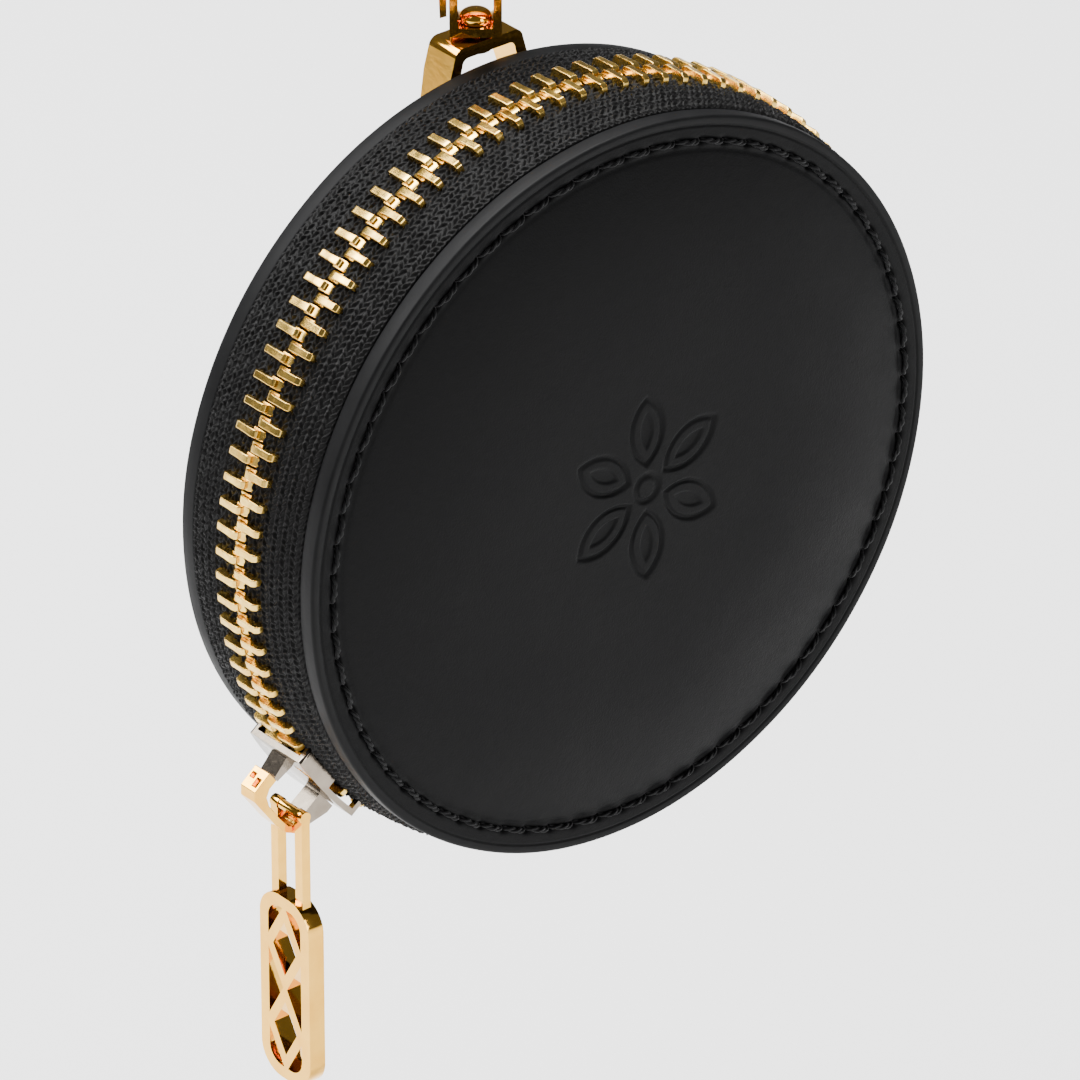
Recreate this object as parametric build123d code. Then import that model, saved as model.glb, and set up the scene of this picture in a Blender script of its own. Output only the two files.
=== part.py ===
from build123d import *
import math
import os

# Round leather coin purse with a zip gusset, hung from a ring and a swivel snap hook.
# Working frame: disc centre at (0, 0, 0), disc axis along Y, front face towards -Y, +Z up.
# Everything is moved at the end so that the origin is the centre of the hook's eye.

# ---- driving dimensions, mm and degrees ----
disc_r = 38.0              # outer radius of both leather panels
half_t = 10.0              # half the thickness over the two rims
panel_t = 2.0              # thickness of a panel's rim
edge_round = 0.7           # rounding of the painted rim
dome_h = 2.4               # rise of the padded front face over its rim
dome_r = 34.6              # foot of the padded face
leather_t = 1.1            # leather over the padding
board_t = 0.55             # stiffener board
fabric_t = 0.5             # lining cloth
inner_y = half_t - panel_t # inner face of each panel

stitch_r = 35.4
stitch_count = 72
stitch_len_deg = 3.5
thread_w = 0.55
thread_t = 0.3

zip_start = -53.0          # the zip tape runs from here, counter-clockwise over the top
zip_end = 233.0
tape_r = 38.3              # middle of the tape beside the teeth: the zip bulges past the rims
tape_t = 0.6
tape_edge = 0.85           # tape edge to mid-plane where the teeth are meshed
tape_edge_open = 1.5       # the same where the slider has parted them
tape_knee = 4.2            # the tape dips towards the panels from here
seam_in_r = 33.5           # inner edge of the sewn seam flanges

tooth_pitch = 3.75         # one row's spacing, degrees
tooth_count = 69
tooth_first = -44.0
tooth_r_in = 37.1
tooth_r_out = 39.6
tooth_w = 0.9
tooth_tip = -0.6           # the head reaches past the mid-plane
tooth_root = 3.1

tape_grip = 0.37           # half the slot that a tooth's legs leave for the tape
stop_grip = 0.39           # the same in the bottom stop

slider_rest = 217.0        # where the closed zip's slider stands
slider_half = 5.0
slider_channel = (36.5, 39.7)
slider_plate = 0.6
slider_width = 4.3         # half width at the mouth
slider_rear = 3.9          # half width where the meshed chain leaves
slider_lip = 0.65
lug_half_w = 1.1
rear_lug_top = 42.25
front_lug_top = 42.9
crown_half_w = 1.1

pull_axis_r = 43.1         # the puller's upper bar, under the slider's crown
pull_axis_t = 2.0          # and how far it hangs towards the mouth
pull_bar = 0.5
link_in = 1.3              # the link's two bars astride the crown
link_out = 2.4
puller_drop = 30.2         # from the upper bar to the badge's lower edge
badge_len = 20.6
badge_w = 7.6
badge_t = 1.85
badge_wall = 1.3

gusset_r = 37.9            # outside of the leather strip that closes the bottom
gusset_t = 1.0
flange_t = 0.55            # its turned flanges along the panels
gusset_lining_half = 6.7

ring_y = 12.4              # the ring hangs just behind the back panel
ring_bar_z = 31.0
ring_bar_r = 1.1
ring_top_z = 40.0
ring_plate_t = 1.2
ring_depth = 4.0
ring_top_half = 3.9
ring_low_half = 6.4
tab_half_w = 4.0
tab_t = 1.0
tab_low_z = 14.0

rivet_r = 0.9
rivet_head_r = 1.55
hook_yaw = -39.2           # the hook's plane is turned by this about the swivel
hook_floor_z = 40.3
frame_half_w = 2.5
frame_wall = 0.8
frame_top_z = 46.9
frame_half_d = 1.9
eye_z = 57.5
eye_r = 4.2
eye_wall = 2.2
hook_half_d = 1.6
gate_pivot = (-3.6, 51.0)
gate_pin_r = 0.6
gate_top_z = 59.9
spring_coil_r = 1.1
spring_bore_r = 0.68
spring_coil_t = 0.45
nose_z = 60.25

run_gap = 0.08             # radial clearance of pins and posts

origin_shift = (0.0, -ring_y, -eye_z)


# ---- helpers ----
def turn(shape, degrees):
    """Carry a shape made on the +X side round the disc, counter-clockwise from the front."""
    return Rot(0, -degrees, 0) * shape


def section(points):
    """A flat section from (radius, Y) points."""
    return make_face(Polyline([(r, y, 0) for r, y in points], close=True))


def ring_of(points, start=0.0, end=360.0):
    """Revolve a (radius, Y) section about the disc axis from start to end degrees."""
    return turn(revolve(section(points), Axis.Y, revolution_arc=end - start), end)


def block(x0, x1, y0, y1, z0, z1):
    corner = (x0, y0, z0)
    size = (x1 - x0, y1 - y0, z1 - z0)
    return Pos(*corner) * Box(*size, align=(Align.MIN, Align.MIN, Align.MIN))


def rod(centre, radius, length, direction):
    """A cylinder centred on a point, lying along X, Y or Z."""
    turned = {"X": Rot(0, 90, 0), "Y": Rot(90, 0, 0), "Z": Rot(0, 0, 0)}[direction]
    return Pos(*centre) * turned * Cylinder(radius, length)


def plate_xz(outline, y0, y1):
    """Extrude an (X, Z) sketch drawn on Plane.XZ from y0 to y1."""
    return Pos(0, y1, 0) * extrude(Plane.XZ * outline, y1 - y0)


def polygon(points, corner=0.0):
    face = make_face(Polyline([(a, b, 0) for a, b in points], close=True))
    return fillet(face.vertices(), corner) if corner else face


def on_rim(angle, radius):
    a = math.radians(angle)
    return radius * math.cos(a), radius * math.sin(a)


# ---- leather panels and what they hold ----
def rim_edge(side, r_in):
    """Inner face of the rim from r_in, round the painted edge, to the outer face."""
    y0 = side * inner_y
    y1 = side * half_t
    low = side * edge_round
    bulge = edge_round * (1 - math.sqrt(0.5))
    return [
        Line((r_in, y0), (disc_r - edge_round, y0)),
        ThreePointArc((disc_r - edge_round, y0), (disc_r - bulge, y0 + side * bulge), (disc_r, y0 + low)),
        Line((disc_r, y0 + low), (disc_r, y1 - low)),
        ThreePointArc((disc_r, y1 - low), (disc_r - bulge, y1 - side * bulge), (disc_r - edge_round, y1)),
    ]


def make_front_panel():
    apex = -(half_t + dome_h)
    shoulder = (0.8 * dome_r, -(half_t + 0.62 * dome_h))
    inner_foot = dome_r - leather_t
    inner_rim_y = -(half_t - leather_t)
    outline = rim_edge(-1, inner_foot)
    outline += [
        Line((inner_foot, inner_rim_y), (inner_foot, -inner_y)),
        Line((disc_r - edge_round, -half_t), (dome_r, -half_t)),
        Spline((dome_r, -half_t), shoulder, (0, apex), tangents=((-0.86, -0.5), (-1, 0))),
        Line((0, apex), (0, apex + leather_t)),
        Spline((0, apex + leather_t), (shoulder[0], shoulder[1] + leather_t),
               (inner_foot, inner_rim_y), tangents=((1, 0), (0.9, 0.43))),
    ]
    return revolve(make_face(Wire(outline)), Axis.Y)


def make_padding():
    apex = -(half_t + dome_h) + leather_t + 0.06
    foot = dome_r - leather_t - 0.1
    shoulder = (0.8 * dome_r, -(half_t + 0.62 * dome_h) + leather_t + 0.06)
    rim_y = -(half_t - leather_t) + 0.06
    back_y = -(inner_y + 0.02)
    outline = [
        Spline((0, apex), shoulder, (foot, rim_y), tangents=((1, 0), (0.9, 0.43))),
        Line((foot, rim_y), (foot, back_y)),
        Line((foot, back_y), (0, back_y)),
        Line((0, back_y), (0, apex)),
    ]
    return revolve(make_face(Wire(outline)), Axis.Y)


def make_back_panel():
    outline = rim_edge(1, 0.0)
    outline += [
        Line((disc_r - edge_round, half_t), (0, half_t)),
        Line((0, half_t), (0, inner_y)),
    ]
    return revolve(make_face(Wire(outline)), Axis.Y)


def make_board(side):
    return rod((0, side * (inner_y - board_t / 2 - 0.01), 0), seam_in_r - 0.3, board_t, "Y")


def make_lining(side):
    centre = inner_y - 0.65 - fabric_t / 2
    return rod((0, side * centre, 0), disc_r - 2.4, fabric_t, "Y")


def make_rim_stitches(side):
    y0 = side * (half_t + 0.02)
    y1 = y0 + side * thread_t
    half = thread_w / 2
    ring = [(stitch_r - half, y0), (stitch_r + half, y0), (stitch_r + half, y1), (stitch_r - half, y1)]
    one = ring_of(ring, 0, stitch_len_deg)
    pitch = 360.0 / stitch_count
    return Compound([turn(one, pitch * k) for k in range(stitch_count)])


# ---- zip ----
def tape_section(side, edge):
    """Web beside the teeth, dipping to the panel, then a seam flange along the panel."""
    top = tape_r + tape_t / 2
    low = tape_r - tape_t / 2
    seam_y = inner_y - 0.03
    flange_y = seam_y - 0.55
    points = [(low, edge), (top, edge), (top, tape_knee), (top - 1.0, seam_y), (seam_in_r, seam_y),
              (seam_in_r, flange_y), (low - 0.95, flange_y), (low, tape_knee)]
    return [(r, side * y) for r, y in points]


def make_tape(side):
    parting = slider_rest - 5.5
    meshed = ring_of(tape_section(side, tape_edge), zip_start, parting)
    parted = ring_of(tape_section(side, tape_edge_open), parting, zip_end)
    return meshed + parted


def make_tooth(side):
    """A tooth on the +X side, its legs closed round the tape's edge."""
    body = block(tooth_r_in, tooth_r_out, tooth_tip, tooth_root, -tooth_w / 2, tooth_w / 2)
    body = fillet(body.edges().filter_by(Axis.X).group_by(Axis.Y)[-1], 0.3)
    slot = block(tape_r - tape_grip, tape_r + tape_grip, tape_edge - 0.05, tooth_root + 1, -1, 1)
    tooth = body - slot
    return tooth if side > 0 else mirror(tooth, Plane.XZ)


def make_teeth(side):
    tooth = make_tooth(side)
    offset = tooth_first if side > 0 else tooth_first + tooth_pitch / 2
    return Compound([turn(tooth, offset + tooth_pitch * k) for k in range(tooth_count)])


def make_top_stop(side):
    y0 = tape_edge_open - 0.35
    legs = block(tooth_r_in + 0.2, tooth_r_out - 0.2, y0, y0 + 1.7, -0.8, 0.8)
    slot = block(tape_r - tape_grip, tape_r + tape_grip, tape_edge_open - 0.05, y0 + 3, -1, 1)
    stop = turn(legs - slot, slider_rest + 10.0)
    return stop if side > 0 else mirror(stop, Plane.XZ)


def make_bottom_stop():
    """A staple across both tapes at the chain's lower end."""
    legs = block(tooth_r_in + 0.2, tooth_r_out - 0.1, -2.9, 2.9, -1.0, 1.0)
    slots = [block(tape_r - stop_grip, tape_r + stop_grip, tape_edge - 0.08, 4, -2, 2),
             block(tape_r - stop_grip, tape_r + stop_grip, -4, -tape_edge + 0.08, -2, 2)]
    return turn(legs - slots[0] - slots[1], tooth_first - 4.6)


# ---- slider and pull ----
def radial_prism(outline, r0, r1):
    """Extrude a (Y, tangent) sketch outwards from r0 to r1, on the +X side."""
    return Pos(r0, 0, 0) * extrude(Plane.YZ * outline, r1 - r0)


def make_slider_body():
    """Two plates held apart by a wedge, lips round the teeth, and two lugs for the crown."""
    low, high = slider_channel
    top = high + slider_plate
    half_deg = math.degrees(slider_half / high) + 2
    mouth = slider_width
    rear = slider_rear
    plan = polygon([(-rear, -slider_half), (rear, -slider_half), (mouth, -0.4), (mouth, slider_half),
                    (-mouth, slider_half), (-mouth, -0.4)], 0.35)
    inner = polygon([(-rear + slider_lip, -8), (rear - slider_lip, -8), (rear - slider_lip, -slider_half),
                     (mouth - slider_lip, -0.4), (mouth - slider_lip, 8), (-mouth + slider_lip, 8),
                     (-mouth + slider_lip, -0.4), (-rear + slider_lip, -slider_half)])
    open_side = Pos(0, 2.0) * Rectangle(20, 4.4)
    shells = [
        (plan, high, top),
        (plan, low - slider_plate, low),
        (plan - inner - open_side, high - 1.05, high + 0.1),
        (plan - inner - open_side, low - 0.1, low + 0.95),
    ]
    solids = []
    for outline, r0, r1 in shells:
        shell = ring_of([(r0, -6), (r1, -6), (r1, 6), (r0, 6)], -half_deg, half_deg)
        solids.append(shell & radial_prism(outline, r0 - 3, r1 + 3))
    body = solids[0] + solids[1] + solids[2] + solids[3]
    wedge = polygon([(0, 0.9), (1.05, 2.6), (0, 4.6), (-1.05, 2.6)])
    body += radial_prism(wedge, low - 0.3, high + 0.3)
    rear_lug = polygon([(high + 0.4, -3.95), (rear_lug_top, -3.5), (rear_lug_top, -2.9), (high + 0.4, -2.6)])
    front_lug = polygon([(high + 0.4, 2.75), (front_lug_top, 2.75), (front_lug_top, 4.3),
                         (40.9, 5.2), (high + 0.4, 5.2)])
    body += plate_xz(rear_lug, -lug_half_w, lug_half_w)
    body += plate_xz(front_lug, -lug_half_w, lug_half_w)
    return turn(body, slider_rest)


def make_slider_bridge():
    """The gilt crown: a C-shaped strap from the rear lug's tip round to the front lug's."""
    rear_foot = rear_lug_top + 0.01
    front_foot = front_lug_top + 0.01
    outer = [(rear_foot, -4.45), (44.6, -4.35), (45.25, -3.5), (45.35, 0.6), (45.2, 2.4), (44.6, 3.5),
             (front_foot, 4.1)]
    inner = [(front_foot, 2.95), (44.0, 2.9), (44.5, 2.2), (44.6, 0.5), (44.5, -1.6), (44.1, -2.6),
             (43.3, -3.05), (rear_foot, -3.05)]
    crown = plate_xz(polygon(outer + inner), -crown_half_w, crown_half_w)
    for y0, y1, r0, r1 in ((0.2, 0.8, 42.9, 43.45), (-0.8, -0.15, 43.2, 44.1)):
        crown -= block(r0, r1, y0, y1, -5.0, -3.8)
    return turn(crown, slider_rest)


pull_x, pull_z = on_rim(slider_rest + math.degrees(pull_axis_t / pull_axis_r), pull_axis_r)


def make_puller():
    """Link of two bars and an oblong open badge with two lozenges, its width along Y."""
    low_z = pull_z - puller_drop
    high_z = low_z + badge_len
    mid_z = (low_z + high_z) / 2
    outer = Pos(0, mid_z) * RectangleRounded(badge_w, badge_len, 3.0)
    inner = Pos(0, mid_z) * RectangleRounded(badge_w - 2 * badge_wall, badge_len - 2 * badge_wall, 1.75)
    face = outer - inner
    reach = badge_w / 2 - badge_wall + 0.45
    half_lozenge = (badge_len / 2 - badge_wall + 1.0) / 2
    lozenge = polygon([(-reach, 0), (0, half_lozenge), (reach, 0), (0, -half_lozenge)])
    lozenge -= scale(lozenge, 0.6)
    for shift in (-half_lozenge + 0.5, half_lozenge - 0.5):
        face += Pos(0, mid_z + shift) * lozenge
    badge = extrude(Plane.YZ * face, badge_t)
    body = Pos(pull_x - badge_t / 2, 0, 0) * badge
    for side in (-1, 1):
        y0, y1 = sorted((side * link_in, side * link_out))
        body += block(pull_x - 0.5, pull_x + 0.5, y0, y1, high_z - 0.9, pull_z)
        body += rod((pull_x, (y0 + y1) / 2, pull_z), 0.62, link_out - link_in, "Y")
    return body + rod((pull_x, 0, pull_z), pull_bar, 2 * link_in + 1.0, "Y")


# ---- leather gusset at the bottom and the hang tab ----
gusset_start = zip_end + 0.3
gusset_end = 360.0 + zip_start - 0.3


def make_gusset():
    """A strip with both edges turned inwards and sewn along the panels."""
    seam_y = inner_y - 0.03
    flange_y = seam_y - flange_t
    inside_r = gusset_r - gusset_t
    half = [(gusset_r, seam_y), (seam_in_r, seam_y), (seam_in_r, flange_y), (inside_r, flange_y)]
    points = half + [(r, -y) for r, y in reversed(half)]
    return ring_of(points, gusset_start, gusset_end)


def make_gusset_lining():
    half = gusset_lining_half
    top = gusset_r - gusset_t - 0.1
    low = top - fabric_t
    return ring_of([(low, -half), (top, -half), (top, half), (low, half)], gusset_start, gusset_end)


def make_gusset_stitches():
    stitch = block(gusset_r + 0.02, gusset_r + thread_t, -0.85, 0.85, -0.25, 0.25)
    rows = [gusset_start + 2.2, gusset_end - 2.2]
    return Compound([turn(Pos(0, 2.7 * k, 0) * stitch, row) for row in rows for k in range(-2, 3)])


def make_hang_tab():
    """A strap end folded round the ring's bar and sewn flat on the back panel."""
    front = half_t + 0.05
    loop_out = 2.3
    outer = polygon([(front + 0.05, ring_bar_z), (front, tab_low_z), (front + 2 * tab_t, tab_low_z),
                     (front + 2 * tab_t, 25.5), (ring_y + loop_out, ring_bar_z)])
    hole = polygon([(front + tab_t + 0.05, ring_bar_z), (front + tab_t, 25.8), (ring_y + 1.3, ring_bar_z)])
    centre = Pos(ring_y, ring_bar_z)
    face = outer + centre * Circle(loop_out) - hole - centre * Circle(ring_bar_r + 0.2)
    return Pos(-tab_half_w, 0, 0) * extrude(Plane.YZ * face, 2 * tab_half_w)


def make_tab_stitches():
    y0 = half_t + 0.05 + 2 * tab_t + 0.02
    upright = block(-0.25, 0.25, y0, y0 + thread_t, -0.85, 0.85)
    level = block(-0.85, 0.85, y0, y0 + thread_t, -0.25, 0.25)
    inset = tab_half_w - 0.9
    stitches = [Pos(x, 0, 16.6 + 2.4 * k) * upright for x in (-inset, inset) for k in range(4)]
    stitches += [Pos(x, 0, z) * level for x in (-1.3, 1.3) for z in (15.1, 24.7)]
    return Compound(stitches)


# ---- ring, swivel and snap hook ----
def make_swivel_ring():
    low = ring_bar_z
    top = ring_top_z
    wall = ring_plate_t
    outer = polygon([(-ring_low_half, low), (ring_low_half, low), (ring_top_half, top), (-ring_top_half, top)])
    inner = polygon([(-ring_low_half + 1.25, low - 1), (ring_low_half - 1.25, low - 1),
                     (ring_top_half - 0.85, top - wall), (-ring_top_half + 0.85, top - wall)], 0.7)
    band = plate_xz(outer - inner, ring_y - ring_depth / 2, ring_y + ring_depth / 2)
    top_edges = band.edges().filter_by(Axis.Y).group_by(Axis.Z)[-1]
    band = fillet(top_edges, 1.1)
    side = polygon([(ring_y - ring_bar_r, low), (ring_y + ring_bar_r, low), (ring_y + ring_depth / 2, low + 6),
                    (ring_y + ring_depth / 2, top), (ring_y - ring_depth / 2, top),
                    (ring_y - ring_depth / 2, low + 6)])
    band = band & (Pos(-10, 0, 0) * extrude(Plane.YZ * side, 20))
    band += rod((0, ring_y, low), ring_bar_r, 2 * ring_low_half, "X")
    return band - rod((0, ring_y, top), rivet_r + 0.01, 6, "Z")


def make_swivel_rivet():
    """Peened under the ring's plate; its head turns inside the hook's frame."""
    foot_z = ring_top_z - ring_plate_t
    head_z = hook_floor_z + 0.9 + 0.1
    post = rod((0, ring_y, (foot_z + head_z) / 2), rivet_r, head_z - foot_z, "Z")
    foot = rod((0, ring_y, foot_z - 0.22), rivet_head_r, 0.4, "Z")
    post += rod((0, ring_y, foot_z - 0.1), rivet_r, 0.4, "Z")
    dome = Pos(0, ring_y, head_z + 0.45) * scale(Sphere(rivet_head_r), (1, 1, 0.5))
    head = rod((0, ring_y, head_z + 0.25), rivet_head_r, 0.5, "Z")
    keep_above = block(-4, 4, ring_y - 4, ring_y + 4, head_z, head_z + 3)
    return post + foot + head + (dome & keep_above)


def yawed(shape):
    """From the hook's own frame (U along X, depth along Y) to its place on the swivel."""
    return Pos(0, ring_y, 0) * Rot(0, 0, hook_yaw) * shape


pivot_u, pivot_z = gate_pivot
lug_half = 0.5
lug_r = 1.1


def make_hook_body():
    frame = polygon([(-frame_half_w, hook_floor_z), (frame_half_w, hook_floor_z),
                     (frame_half_w, frame_top_z), (-frame_half_w, frame_top_z)], 0.35)
    inner_w = frame_half_w - frame_wall
    window = polygon([(-inner_w, hook_floor_z + 0.9), (inner_w, hook_floor_z + 0.9),
                      (inner_w, frame_top_z - 1.0), (-inner_w, frame_top_z - 1.0)], 0.4)
    lower = plate_xz(frame - window, -frame_half_d, frame_half_d)
    lower -= rod((0, 0, hook_floor_z), rivet_r + run_gap, 4, "Z")
    eye = Pos(0, eye_z) * Circle(eye_r)
    neck = polygon([(-1.9, frame_top_z - 0.6), (2.5, frame_top_z - 0.6), (4.6, 50.5), (6.3, 55.2),
                    (6.3, eye_z), (0, eye_z), (-1.9, 55.0)])
    bow = Pos(0, eye_z) * Circle(eye_r + eye_wall) - polygon([(-9, nose_z), (-9, 45), (0, 45), (0, nose_z)])
    bow -= polygon([(-1, 45), (9, 45), (9, 55.2), (-1, 55.2)])
    upper = plate_xz(neck + bow - eye, -hook_half_d, hook_half_d)
    lug = polygon([(-1.5, pivot_z + lug_r), (pivot_u, pivot_z + lug_r), (pivot_u, pivot_z - lug_r),
                   (-1.5, 48.6)])
    lug += Pos(pivot_u, pivot_z) * Circle(lug_r)
    body = lower + upper + plate_xz(lug - eye, -lug_half, lug_half)
    return yawed(body - rod((pivot_u, 0, pivot_z), gate_pin_r + 0.01, 6, "Y"))


def make_gate():
    """Lever with two ears astride the hook's lug, a closing arm above and a thumb tail below."""
    arm = Pos(0, eye_z) * (Circle(5.9) - Circle(eye_r + 0.15))
    arm &= polygon([(-9, 54.4), (-3.3, 54.4), (-3.3, gate_top_z), (-9, gate_top_z)])
    link = polygon([(-5.3, 55.0), (-3.5, 54.6), (pivot_u + 1.1, pivot_z), (pivot_u - 1.25, pivot_z)])
    tail = polygon([(pivot_u - 1.2, pivot_z), (pivot_u + 0.6, pivot_z), (-2.8, 49.2), (-2.75, 42.4),
                    (-3.4, 42.2), (-3.6, 47.5)])
    face = arm + link + tail + Pos(pivot_u, pivot_z) * Circle(1.25)
    face -= Pos(0, eye_z) * Circle(eye_r + 0.15)
    lever = plate_xz(face, -hook_half_d, hook_half_d)
    slot = plate_xz(Pos(pivot_u, pivot_z) * Circle(lug_r + 0.5), -1.05, 1.05)
    inner = block(-3.4, 0, -1.05, 1.05, 48.4, 54.2)
    lever = lever - slot - inner
    return yawed(lever - rod((pivot_u, 0, pivot_z), gate_pin_r + run_gap, 6, "Y"))


def make_gate_pin():
    return yawed(rod((pivot_u, 0, pivot_z), gate_pin_r, 2 * hook_half_d + 0.2, "Y"))


def make_gate_spring():
    """Two small coils on the pin, one each side of the lug."""
    coils = []
    for side in (-1, 1):
        middle = side * (lug_half + 1.05) / 2
        centre = (pivot_u, middle, pivot_z)
        coil = rod(centre, spring_coil_r, spring_coil_t, "Y") - rod(centre, spring_bore_r, 2, "Y")
        coils.append(yawed(coil))
    return Compound(coils)


nodes = {
    "back_panel": make_back_panel(),
    "back_stiffener": make_board(1),
    "back_lining": make_lining(1),
    "back_stitching": make_rim_stitches(1),
    "back_tape": make_tape(1),
    "back_teeth": make_teeth(1),
    "back_top_stop": make_top_stop(1),
    "bottom_stop": make_bottom_stop(),
    "gusset": make_gusset(),
    "gusset_lining": make_gusset_lining(),
    "gusset_stitching": make_gusset_stitches(),
    "hang_tab": make_hang_tab(),
    "tab_stitching": make_tab_stitches(),
    "front_panel": make_front_panel(),
    "front_padding": make_padding(),
    "front_stiffener": make_board(-1),
    "front_lining": make_lining(-1),
    "front_stitching": make_rim_stitches(-1),
    "front_tape": make_tape(-1),
    "front_teeth": make_teeth(-1),
    "front_top_stop": make_top_stop(-1),
    "slider_body": make_slider_body(),
    "slider_bridge": make_slider_bridge(),
    "puller": make_puller(),
    "swivel_ring": make_swivel_ring(),
    "swivel_rivet": make_swivel_rivet(),
    "hook_body": make_hook_body(),
    "hook_gate": make_gate(),
    "gate_pin": make_gate_pin(),
    "gate_spring": make_gate_spring(),
}

os.makedirs("parts", exist_ok=True)
for name, shape in nodes.items():
    export_step(Pos(*origin_shift) * shape, f"parts/{name}.step")
    print(name, round(shape.volume, 2))
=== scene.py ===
"""Looks of the round leather coin purse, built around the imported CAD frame.

Shapes are drawn in millimetres in the disc's own frame: the centre of the purse is (0, 0, 0), X to the
right, Y towards the back, Z up. Angles run counter-clockwise from +X as seen from the front.
"""
import math

import bmesh
import bpy
import numpy as np
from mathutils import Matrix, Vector


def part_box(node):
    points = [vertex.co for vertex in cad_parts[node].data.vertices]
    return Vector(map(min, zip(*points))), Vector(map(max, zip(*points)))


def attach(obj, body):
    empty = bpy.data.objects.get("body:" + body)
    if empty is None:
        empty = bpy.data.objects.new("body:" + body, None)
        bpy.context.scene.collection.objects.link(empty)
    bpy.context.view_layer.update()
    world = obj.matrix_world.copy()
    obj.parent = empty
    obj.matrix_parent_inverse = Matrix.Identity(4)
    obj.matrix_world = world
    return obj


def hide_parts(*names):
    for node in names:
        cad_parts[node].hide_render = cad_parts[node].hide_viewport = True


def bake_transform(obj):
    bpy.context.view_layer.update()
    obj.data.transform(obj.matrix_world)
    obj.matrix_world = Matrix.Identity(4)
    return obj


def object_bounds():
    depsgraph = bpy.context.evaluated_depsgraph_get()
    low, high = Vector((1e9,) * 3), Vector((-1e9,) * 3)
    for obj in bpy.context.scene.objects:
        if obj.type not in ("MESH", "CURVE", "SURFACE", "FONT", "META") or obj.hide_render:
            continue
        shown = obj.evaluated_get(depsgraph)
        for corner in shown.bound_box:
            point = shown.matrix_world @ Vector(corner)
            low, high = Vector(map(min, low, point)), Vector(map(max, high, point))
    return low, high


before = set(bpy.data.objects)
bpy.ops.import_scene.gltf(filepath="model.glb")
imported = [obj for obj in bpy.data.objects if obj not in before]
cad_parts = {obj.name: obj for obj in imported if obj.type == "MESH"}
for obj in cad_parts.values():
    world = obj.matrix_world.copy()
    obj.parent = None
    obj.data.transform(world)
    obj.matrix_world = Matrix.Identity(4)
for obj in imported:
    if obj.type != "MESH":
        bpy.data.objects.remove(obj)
cad_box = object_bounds()

# ---------------------------------------------------------------- sizes read from the frame, in mm
MM = 0.001
face_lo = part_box("front_panel")[0]
back_lo, back_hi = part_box("back_panel")
mid_y = (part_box("front_stiffener")[1].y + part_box("back_stiffener")[0].y) / 2
disc_centre = Vector(((back_lo.x + back_hi.x) / 2, mid_y, (back_lo.z + back_hi.z) / 2))

DISC_R = (back_hi.x - back_lo.x) / 2 / MM
HALF_T = (back_hi.y - mid_y) / MM
DOME_H = (mid_y - face_lo.y) / MM - HALF_T
PANEL_T = (back_hi.y - back_lo.y) / MM
INNER_Y = HALF_T - PANEL_T
DOME_R = DISC_R * 0.9105
STITCH_R = DISC_R * 0.9316
STITCHES = 72
PITCH = 360 / STITCHES


# ---------------------------------------------------------------- mesh helpers
def make_object(name, verts, faces, materials, groups=None):
    """A mesh object from disc-frame millimetres. groups holds a material index for each face."""
    mesh = bpy.data.meshes.new(name)
    points = np.asarray(verts, float) * MM + np.array(disc_centre)
    mesh.from_pydata(points.tolist(), [], faces)
    for material in materials:
        mesh.materials.append(material)
    if groups is not None:
        mesh.polygons.foreach_set("material_index", np.asarray(groups, np.int32))
    mesh.polygons.foreach_set("use_smooth", [True] * len(mesh.polygons))
    mesh.update()
    obj = bpy.data.objects.new(name, mesh)
    bpy.context.scene.collection.objects.link(obj)
    return obj


def recalc(obj):
    """Point all the normals of closed shells outwards."""
    bm = bmesh.new()
    bm.from_mesh(obj.data)
    bmesh.ops.recalc_face_normals(bm, faces=bm.faces)
    bm.to_mesh(obj.data)
    bm.free()
    return obj


def add_modifier(obj, kind, **settings):
    modifier = obj.modifiers.new(kind.title(), kind)
    for key, value in settings.items():
        setattr(modifier, key, value)
    return modifier


def bevel(obj, width, segments=3, angle=35):
    add_modifier(obj, "BEVEL", width=width * MM, segments=segments, limit_method="ANGLE",
                 angle_limit=math.radians(angle), harden_normals=True)
    return obj


def settle(obj, body, slot, *nodes):
    """Ride on a body and stand for CAD nodes. The slot argument is not used."""
    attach(obj, body)
    if nodes:
        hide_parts(*nodes)
    return obj


def polar(radius, degrees, y):
    """Disc-frame points from polar arrays."""
    a = np.radians(degrees)
    r, a, y = np.broadcast_arrays(radius, a, y)
    return np.stack([r * np.cos(a), y, r * np.sin(a)], -1)


def grid_faces(rows, cols, wrap_cols=False, start=0):
    """Quads of a rows x cols grid of vertices."""
    faces = []
    for i in range(rows - 1):
        for j in range(cols if wrap_cols else cols - 1):
            a = start + i * cols + j
            b = start + i * cols + (j + 1) % cols
            c = start + (i + 1) * cols + (j + 1) % cols
            d = start + (i + 1) * cols + j
            faces.append((a, b, c, d))
    return faces


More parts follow.
